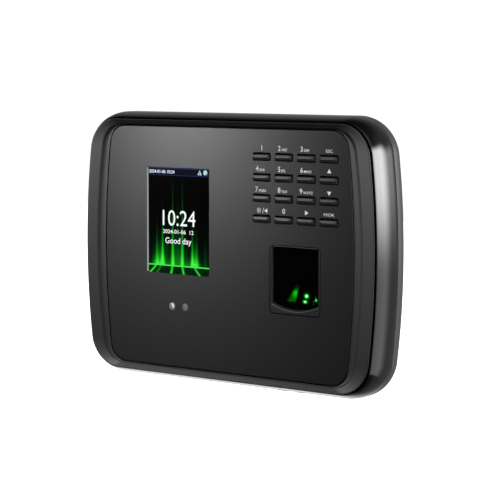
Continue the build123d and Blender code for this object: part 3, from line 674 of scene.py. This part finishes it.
def screen_glow():
    """The display's picture: black, with green beams that rise from a line and fade upwards,
    and streaks that fan out below it."""
    material = Material("screen_glow", Base_Color=(0.003, 0.003, 0.003), Roughness=0.08,
                        Specular_IOR_Level=0.02)
    material.set("Emission Strength", 1.0)
    nodes = material.nodes
    sums = NodeSums(material.data.node_tree)
    split = nodes.new("ShaderNodeSeparateXYZ")
    material.link(material.place, split.inputs["Vector"])
    across = sums.op("MULTIPLY", sums.op("SUBTRACT", split.outputs["X"], SCREEN_LEFT), 1 / MM)
    down = sums.op("MULTIPLY", sums.op("SUBTRACT", SCREEN_TOP, split.outputs["Z"]), 1 / MM)
    above = sums.op("SUBTRACT", LINE_DOWN, down)
    total = None
    for centre, width, reach, power, dots in BEAMS:
        fade = sums.op("SUBTRACT", 1.0, sums.op("DIVIDE", above, reach))
        fade = sums.op("POWER", sums.op("MAXIMUM", fade, 0.0), 2.5)
        off = sums.op("ABSOLUTE", sums.op("SUBTRACT", across, centre))
        wide = sums.op("ADD", 0.5, sums.op("MULTIPLY", fade, width))
        core = sums.bell(sums.op("DIVIDE", off, wide), 1.9)
        beam = sums.op("MULTIPLY", sums.op("MULTIPLY", core, fade), power)
        if dots:
            wave = sums.op("SINE", sums.op("MULTIPLY", above, math.tau / DOT_PITCH))
            dotted = sums.op("ADD", 1.0 - dots / 2, sums.op("MULTIPLY", wave, dots / 2))
            beam = sums.op("MULTIPLY", beam, dotted)
        total = beam if total is None else sums.op("ADD", total, beam)
    lit = sums.op("MULTIPLY", total, sums.op("GREATER_THAN", above, 0.0))
    below = sums.op("MAXIMUM", sums.op("MULTIPLY", above, -1.0), 0.0)
    narrowing = sums.op("SUBTRACT", 1.0, sums.op("MULTIPLY", below, FAN_SPREAD))
    fan = sums.op("MULTIPLY", sums.op("SUBTRACT", across, FAN_CENTRE), narrowing)
    streaks = None
    for centre, power in STREAKS:
        off = sums.op("ABSOLUTE", sums.op("SUBTRACT", fan, centre))
        streak = sums.op("MULTIPLY", sums.bell(off, 2.2), power)
        streaks = streak if streaks is None else sums.op("ADD", streaks, streak)
    low = sums.op("MULTIPLY", streaks, sums.op("GREATER_THAN", below, 0.0))
    haze = sums.op("POWER", math.e, sums.op("MULTIPLY", above, -0.16))
    haze = sums.op("MINIMUM", sums.op("MULTIPLY", haze, 0.05), 0.05)
    light = sums.op("ADD", sums.op("ADD", lit, low), haze)
    ramp = nodes.new("ShaderNodeValToRGB")
    ramp.color_ramp.elements[0].color = (0.0, 0.0, 0.0, 1)
    ramp.color_ramp.elements[1].color = (0.07, 0.85, 0.07, 1)
    for position, colour in ((0.12, (0.0, 0.035, 0.005, 1)), (0.45, (0.004, 0.26, 0.006, 1)),
                             (0.75, (0.015, 0.66, 0.02, 1))):
        ramp.color_ramp.elements.new(position).color = colour
    material.link(light, ramp.inputs["Fac"])
    material.link(ramp.outputs["Color"], material.shader.inputs["Emission Color"])
    return material.data


SCREEN_WHITE = glow("screen_white", (0.95, 1.0, 1.0), 1.1)
SCREEN_GREEN = glow("screen_green", (0.06, 0.85, 0.08), 1.0)
SCREEN_NAVY = glow("screen_navy", (0.012, 0.022, 0.10), 1.0)
SCREEN_DARK = glow("screen_dark", (0.004, 0.004, 0.010), 1.0)
SCREEN_RED = glow("screen_red", (0.85, 0.04, 0.05), 1.0)
SCREEN_CYAN = glow("screen_cyan", (0.35, 0.80, 0.85), 1.0)


def screen_text(name, words, height, centre, base, squeeze=1.0, bold=0.0):
    """White lettering on the display; height is the height of a capital, in millimetres."""
    size = height * MM / CAPITAL_SHARE
    mesh = text_mesh(name, words, size, screen_x(centre), SCREEN_Y - TEXT_OUT, screen_z(base),
                     TEXT_DEPTH, squeeze=squeeze, bold=bold)
    return new_piece(name, mesh, SCREEN_WHITE)


def screen():
    """The display's picture and the plain shapes and words on it."""
    bold = 0.02 * MM
    bar("screen_picture", 0.0, PICTURE_W, 0.0, PICTURE_H, screen_glow(), 0)
    bar("screen_status_bar", 0.0, PICTURE_W, 0.0, 4.4, SCREEN_DARK, 1)
    bar("screen_status_top", 0.0, PICTURE_W, 0.0, 0.9, SCREEN_NAVY, 2)
    bar("screen_status_line", 0.0, PICTURE_W, 4.1, 4.5, SCREEN_NAVY, 2)
    bar("screen_green_line", 0.0, 43.0, 52.95, 53.65, SCREEN_GREEN, 2)
    screen_text("screen_clock", "10:24", 8.4, 20.4, 31.5, squeeze=0.95)
    screen_text("screen_date", "2024-01-06  12", 2.1, 20.8, 35.8, squeeze=1.15, bold=bold)
    screen_text("screen_greeting", "Good day", 3.2, 20.8, 41.2, bold=bold)
    screen_text("screen_status_digits", "2024-01-06 10:24", 1.75, 9.4, 3.3, bold=bold)
    flat_shape("screen_bell", [(34.2, 3.6), (37.0, 3.6), (36.3, 2.0), (35.6, 1.0), (34.9, 2.0)],
               SCREEN_CYAN, 3)
    flat_shape("screen_bell_dot", [(35.2, 3.5), (36.0, 3.5), (36.0, 1.9), (35.2, 1.9)],
               SCREEN_RED, 4)
    disc_across, disc_down, disc_radius, disc_points = 39.4, 2.2, 1.4, 16
    turns = [i / disc_points * math.tau for i in range(disc_points)]
    disc = [(disc_across + disc_radius * math.cos(turn), disc_down + disc_radius * math.sin(turn))
            for turn in turns]
    flat_shape("screen_disc", disc, SCREEN_CYAN, 3)
    flat_shape("screen_disc_mark", [(39.2, 3.5), (40.9, 3.5), (40.9, 2.3)], SCREEN_RED, 4)


screen()


# ---------------------------------------------------------------- lenses, lip and window edge
STATUS_R = 2.15 * MM        # radius of the status lenses in the CAD


def status_lens(node, material):
    """A domed lens, whose rim lies just below the panel's face."""
    place = middle(node)
    radius = STATUS_R - 0.02 * MM
    dome, steps = 0.35 * MM, 12
    rim_y = FACE_Y + 0.15 * MM
    profile = [(radius, FACE_Y + 2.2 * MM), (radius, rim_y)]
    for i in range(1, steps):
        angle = math.pi / 2 * i / steps
        profile.append((radius * math.cos(angle), rim_y - dome * math.sin(angle)))
    profile.append((0.01 * MM, rim_y - dome))
    mesh = lathe_mesh(node + "_dome", place.x, place.z, profile)
    lens = new_piece(node + "_dome", mesh, material, smooth_angle=50)
    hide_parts(node)


def lens_painted_highlight(name, place):
    """Clear plastic over a lamp, with painted light on it: a glow gathered on one side that
    stands in for the lamp's light and the dome's highlight, a fainter one along the other rim,
    and a faint glow all over.
    """
    material = Material(name, Base_Color=(0.16, 0.17, 0.18), Roughness=0.15)
    material.set("Emission Strength", 1.0)
    material.set("Emission Color", (0.0, 0.0, 0.0))
    sums = NodeSums(material.data.node_tree)
    split = material.nodes.new("ShaderNodeSeparateXYZ")
    material.link(material.place, split.inputs["Vector"])
    x, _, z = split.outputs
    # Painted highlight: a glow to the upper right of the dome, a fainter one along its left rim,
    # and a faint glow all over.
    core = sums.op("MULTIPLY", sums.hump(x, place.x + 0.75 * MM, 0.55 * MM),
                   sums.hump(z, place.z + 0.30 * MM, 1.0 * MM))
    rim = sums.op("MULTIPLY", sums.hump(x, place.x - 1.35 * MM, 0.4 * MM), 0.18)
    light = sums.op("ADD", sums.op("ADD", core, rim), 0.05)
    material.link(material.tint(light, (0.0, 0.0, 0.0), (0.85, 0.92, 1.0)),
                  material.shader.inputs["Emission Color"])
    fine = material.noise(0.6 * MM, 2.0)
    material.link(material.ramp(fine, 0.10, 0.20), material.shader.inputs["Roughness"])
    return material.data


status_lens("status_lens_clear", lens_painted_highlight("lens_painted_highlight", middle("status_lens_clear")))
status_lens("status_lens_frosted", FROSTED)


def sensor_lip():
    """A thin bead that follows the lower edge of the finger opening, in light grey plastic as a
    painted highlight.
    """
    place = middle("sensor_prism")
    half, ends, sag = 14.8 * MM, -25.6 * MM, 3.4 * MM
    y, radius, wobble = FACE_Y + 0.12 * MM, 0.18 * MM, 0.1 * MM
    bend = (half**2 + sag**2) / (2 * sag)
    steps, round_steps = 60, 8
    vertices = []
    for i in range(steps + 1):
        lean = math.asin(half / bend) * (2 * i / steps - 1)
        reach = bend + wobble * math.sin(i * 1.9) * math.sin(i * 0.7)
        for k in range(round_steps):
            turn = math.tau * k / round_steps
            out = reach + radius * math.cos(turn)
            vertices.append((place.x + out * math.sin(lean), y - radius * math.sin(turn),
                             ends - sag + bend - out * math.cos(lean)))
    faces = []
    for i in range(steps):
        for k in range(round_steps):
            here, there = i * round_steps, (i + 1) * round_steps
            nxt = (k + 1) % round_steps
            faces.append((here + k, here + nxt, there + nxt, there + k))
    faces.append(tuple(range(round_steps)))
    faces.append(tuple(range(steps * round_steps, (steps + 1) * round_steps)))
    new_piece("sensor_lip", mesh_from("sensor_lip", vertices, faces), LIP_PAINTED_HIGHLIGHT,
              smooth_angle=60)


sensor_lip()


def window_edge():
    """A thin strip along the left edge of the window, from the panel's face back to the window,
    that glows faint grey: painted light.
    """
    left, right = SCREEN_LEFT - 0.02 * MM, SCREEN_LEFT + 0.03 * MM
    bottom = screen_z(PICTURE_H)
    points = [(left, bottom), (right, bottom), (right, SCREEN_TOP), (left, SCREEN_TOP)]
    mesh = plate_mesh("window_edge", [(points, FACE_Y + 0.10 * MM), (points, WINDOW_Y)])
    new_piece("window_edge", mesh, WINDOW_EDGE_PAINTED_LIGHT)


window_edge()


# ---------------------------------------------------------------- keys
def key_piece(node):
    """A key: a bar with a soft ridge along its middle, and its flange in the slot, painted black
    as painted shade.
    """
    low, high = corners(node)
    x, z = (low.x + high.x) / 2, (low.z + high.z) / 2
    cap_w, cap_h, corner, drop = 9.9 * MM, 2.8 * MM, 0.6 * MM, 0.25 * MM
    stem_y, flange_y = FACE_Y + 2.1 * MM, FACE_Y + 2.9 * MM
    slope_above, slope_below, ridge = 0.10, 0.30, 0.20 * MM
    edge, edge_steps, face_steps = 0.14 * MM, 6, 6
    rings = []

    def ring(inset, y_of):
        points = rounded_rectangle(cap_w - 2 * inset, cap_h - 2 * inset,
                                   max(corner - inset, 0.05 * MM))
        rings.append([(px + x, y_of(pz), pz + z - drop) for px, pz in points])

    def face_y(up):
        slope = slope_above if up > 0 else slope_below
        return low.y + slope * (math.sqrt(up**2 + ridge**2) - ridge)

    ring(0.0, lambda up: stem_y)
    for i in range(edge_steps + 1):
        angle = math.pi / 2 * i / edge_steps
        ring(edge * (1 - math.cos(angle)), lambda up: face_y(up) + edge * (1 - math.sin(angle)))
    for i in range(1, face_steps + 1):
        ring(edge + (cap_h / 2 - edge - 0.02 * MM) * i / face_steps, face_y)
    count = len(rings[0])
    vertices = [point for loop in rings for point in loop]
    faces = [tuple(range(count)), tuple(range(len(vertices) - count, len(vertices)))]
    for s in range(len(rings) - 1):
        for i in range(count):
            j = (i + 1) % count
            faces.append((s * count + i, s * count + j, (s + 1) * count + j, (s + 1) * count + i))
    cap = new_piece(node + "_cap", mesh_from(node + "_cap", vertices, faces), KEY_PLASTIC,
                    node, 50)
    # The flange is painted black: painted shade in the slot round the cap.
    skirt = rounded_rectangle(12.8 * MM, 5.8 * MM, 0.8 * MM)
    skirt_loops = [(moved(skirt, x, z), stem_y), (moved(skirt, x, z), flange_y)]
    flange = new_piece(node + "_flange", plate_mesh(node + "_flange", skirt_loops), SLOT_SHADE_BLACK,
                       node, 30)
    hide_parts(node)
    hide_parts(node)


for key in KEY_NODES:
    key_piece(key)


# ---------------------------------------------------------------- key labels
LABEL_RISE = 1.05 * MM      # gap between a slot and the label above it
SLOT_HALF = 2.2 * MM
DIGIT_SIZE, LETTER_SIZE, WORD_SIZE = 3.75 * MM, 1.9 * MM, 2.2 * MM
ARROW_R, ARROW_RISE = 1.45 * MM, 1.1 * MM
LABELS = {
    "key_1": ("1", ""), "key_2": ("2", "ABC"), "key_3": ("3", "DEF"),
    "key_4": ("4", "GHI"), "key_5": ("5", "JKL"), "key_6": ("6", "MNO"),
    "key_7": ("7", "PQRS"), "key_8": ("8", "TUV"), "key_9": ("9", "WXYZ"), "key_0": ("0", ""),
}
WORDS = {"key_esc": "ESC", "key_ok": "M/OK"}
ARROWS = {"key_up": 0, "key_left": 1, "key_down": 2, "key_right": 3}
INK_Y, INK_DEPTH = FACE_Y - 0.012 * MM, 0.02 * MM


def join(name, meshes):
    """Several meshes as one."""
    work = bmesh.new()
    for mesh in meshes:
        work.from_mesh(mesh)
    whole = bpy.data.meshes.new(name)
    work.to_mesh(whole)
    work.free()
    return whole


def ring_label(x, z):
    """A ring with a dot in its middle."""
    count = 24
    turns = [math.tau * i / count for i in range(count)]
    meshes = []
    for outer, inner in ((1.25 * MM, 1.0 * MM), (0.4 * MM, 0.0)):
        rim = [(x + outer * math.cos(turn), INK_Y, z + outer * math.sin(turn)) for turn in turns]
        hole = [(x + inner * math.cos(turn), INK_Y, z + inner * math.sin(turn)) for turn in turns]
        if inner:
            faces = [(i, (i + 1) % count, count + (i + 1) % count, count + i) for i in range(count)]
            meshes.append(mesh_from("ring", rim + hole, faces))
        else:
            meshes.append(mesh_from("dot", rim, [tuple(range(count))]))
    return join("ring_label", meshes)


def key_label(node):
    """The print above a key: a digit with small letters, a word or an arrow."""
    place = middle(node)
    base = place.z + SLOT_HALF + LABEL_RISE
    x = place.x
    if node in LABELS:
        digit, letters = LABELS[node]
        left = x - (0.0 if not letters else (1.9 + 0.35 * len(letters)) * MM)
        meshes = [text_mesh(node, digit, DIGIT_SIZE, left, INK_Y, base, INK_DEPTH, bold=0.025 * MM)]
        if letters:
            meshes.append(text_mesh(node, letters, LETTER_SIZE, left + 1.35 * MM, INK_Y, base,
                                    INK_DEPTH, align="LEFT", squeeze=1.06, bold=0.012 * MM))
        return join(node, meshes)
    if node in WORDS:
        return text_mesh(node, WORDS[node], WORD_SIZE, x, INK_Y, base, INK_DEPTH, squeeze=1.2)
    turn = ARROWS[node] * math.pi / 2
    x += 3.0 * MM if node == "key_left" else 0.0
    corner = [(x + ARROW_R * math.cos(turn + math.pi / 2 + k * math.tau / 3),
               base + ARROW_RISE + ARROW_R * math.sin(turn + math.pi / 2 + k * math.tau / 3))
              for k in range(3)]
    arrow = plate_mesh(node, [(corner, INK_Y), (corner, INK_Y + INK_DEPTH)])
    if node != "key_left":
        return arrow
    stroke = moved([(-2.5 * MM, -0.4 * MM), (-2.25 * MM, -0.4 * MM), (-1.45 * MM, 2.5 * MM),
                    (-1.7 * MM, 2.5 * MM)], x, base)
    slash = plate_mesh(node, [(stroke, INK_Y), (stroke, INK_Y + INK_DEPTH)])
    return join(node, [arrow, slash, ring_label(x - 4.8 * MM, base + ARROW_RISE)])


label_meshes = [key_label(node) for node in sorted(KEY_NODES)]
new_piece("key_labels", join("key_labels", label_meshes), LABEL_INK_PAINTED_GLOW, smooth_angle=20)


# ---------------------------------------------------------------- stage, camera and light
def floor():
    """A plain pale floor, well below the terminal, which hangs on a wall. It only shows to the
    camera: what the terminal reflects comes from the room's light."""
    size, level = 8.0, -0.75
    mesh = mesh_from("floor", [(-size, -size, level), (size, -size, level), (size, size, level),
                               (-size, size, level)], [(0, 1, 2, 3)])
    material = Material("floor_paint", Roughness=0.9)
    material.set("Emission Color", (1.0, 1.0, 1.0))
    material.set("Emission Strength", 1.0)
    cloud = material.noise(0.8, 2.0)
    material.link(material.tint(cloud, (0.90, 0.90, 0.90), (0.94, 0.94, 0.94)),
                  material.shader.inputs["Base Color"])
    piece = bpy.data.objects.new("floor", mesh)
    mesh.materials.append(material.data)
    piece.visible_diffuse = False
    piece.visible_glossy = False
    piece.visible_transmission = False
    bpy.context.scene.collection.objects.link(piece)


def camera():
    """The photo's viewpoint: a long lens to the right of the terminal and a little above it."""
    data = bpy.data.cameras.new("camera")
    data.sensor_width = 36.0
    data.lens = 136.03
    data.clip_start, data.clip_end = 0.05, 50.0
    rig = bpy.data.objects.new("camera", data)
    rig.location = (0.6088, FACE_Y - 0.7875, 0.0971)
    rig.rotation_euler = (math.radians(84.459), math.radians(-0.131), math.radians(36.923))
    bpy.context.scene.collection.objects.link(rig)
    bpy.context.scene.camera = rig


def key_light():
    """One small square softbox, in front and to the left."""
    place, target = Vector((-0.655, -0.784, 0.063)), Vector((0.0, FACE_Y, 0.03))
    data = bpy.data.lights.new("key_light", "AREA")
    data.shape = "RECTANGLE"
    data.size, data.size_y = 0.10, 0.10
    data.energy = 1.52
    data.spread = math.radians(180)
    lamp = bpy.data.objects.new("key_light", data)
    lamp.location = place
    lamp.rotation_euler = (target - place).to_track_quat("-Z", "Y").to_euler()
    lamp.visible_camera = False
    bpy.context.scene.collection.objects.link(lamp)


# Brightness of the surroundings, as the terminal sees them.
STRIP_PEAK, STRIP_TAIL = 14.5, 2.0
ROOM_FRONT, ROOM_BEHIND = 0.008, 0.26
BELOW_BEHIND = 3.0
CEILING = 1.2
SIDE_BRIGHT, SIDE_DIM = 2.6, 0.1
WHITE_BACKDROP = 1.05


def surroundings():
    """White where the camera looks. For light and reflections a dim room, lighter behind the
    terminal, with a soft strip to its right that is brightest just above its middle and fades
    downwards, a fainter one further round to the side, a pale ceiling in front and to the
    left, and a glow from below, behind and to the left. Angles are in degrees: around is 0 to
    the right and 90 behind, up is 0 at the horizon."""
    world = bpy.data.worlds.new("studio")
    bpy.context.scene.world = world
    world.use_nodes = True
    nodes, links = world.node_tree.nodes, world.node_tree.links
    sums = NodeSums(world.node_tree)
    direction = nodes.new("ShaderNodeTexCoord").outputs["Generated"]
    split = nodes.new("ShaderNodeSeparateXYZ")
    links.new(direction, split.inputs["Vector"])
    x, y, z = split.outputs
    around = sums.degrees(sums.op("ARCTAN2", y, x))
    up = sums.degrees(sums.op("ARCSINE", z))
    strip = sums.op("MULTIPLY", sums.step(around, -35.0, -6.0), sums.step(around, 50.0, 23.0))
    bright = sums.op("MULTIPLY", sums.step(up, -7.5, 5.0), sums.step(up, 32.0, 17.0))
    dim = sums.op("MULTIPLY", sums.step(up, -39.0, -38.0), sums.step(up, 36.0, 20.0))
    shine = sums.op("ADD", sums.op("MULTIPLY", bright, STRIP_PEAK),
                    sums.op("MULTIPLY", dim, STRIP_TAIL))
    lit = sums.op("MULTIPLY", strip, shine)
    under = sums.op("MULTIPLY", sums.hump(around, 141.0, 26.0), sums.hump(up, -44.0, 20.0))
    lit = sums.op("ADD", lit, sums.op("MULTIPLY", under, BELOW_BEHIND))
    back = sums.op("MULTIPLY", sums.step(y, -0.05, 0.5), sums.step(up, 62.0, 32.0))
    room = sums.op("ADD", ROOM_FRONT, sums.op("MULTIPLY", back, ROOM_BEHIND))
    ceiling = sums.op("MULTIPLY", sums.step(y, 0.0, -0.3), sums.step(up, 8.0, 50.0))
    ceiling = sums.op("MULTIPLY", ceiling, sums.step(around, 12.0, -12.0))
    room = sums.op("ADD", room, sums.op("MULTIPLY", ceiling, CEILING))
    side = sums.op("MULTIPLY", sums.step(around, 25.0, 45.0), sums.step(around, 80.0, 50.0))
    side = sums.op("MULTIPLY", side, sums.step(up, 24.0, 8.0))
    glance = sums.op("ADD", sums.op("MULTIPLY", bright, SIDE_BRIGHT),
                     sums.op("MULTIPLY", dim, SIDE_DIM))
    room = sums.op("ADD", room, sums.op("MULTIPLY", side, glance))
    mix = nodes.new("ShaderNodeMix")
    mix.inputs["B"].default_value = WHITE_BACKDROP
    links.new(nodes.new("ShaderNodeLightPath").outputs["Is Camera Ray"], mix.inputs["Factor"])
    links.new(sums.op("ADD", lit, room), mix.inputs["A"])
    links.new(mix.outputs["Result"], nodes["Background"].inputs["Strength"])
    nodes["Background"].inputs["Color"].default_value = (1, 1, 1, 1)


floor()
camera()
surroundings()
key_light()
bpy.context.scene.view_settings.view_transform = "Standard"
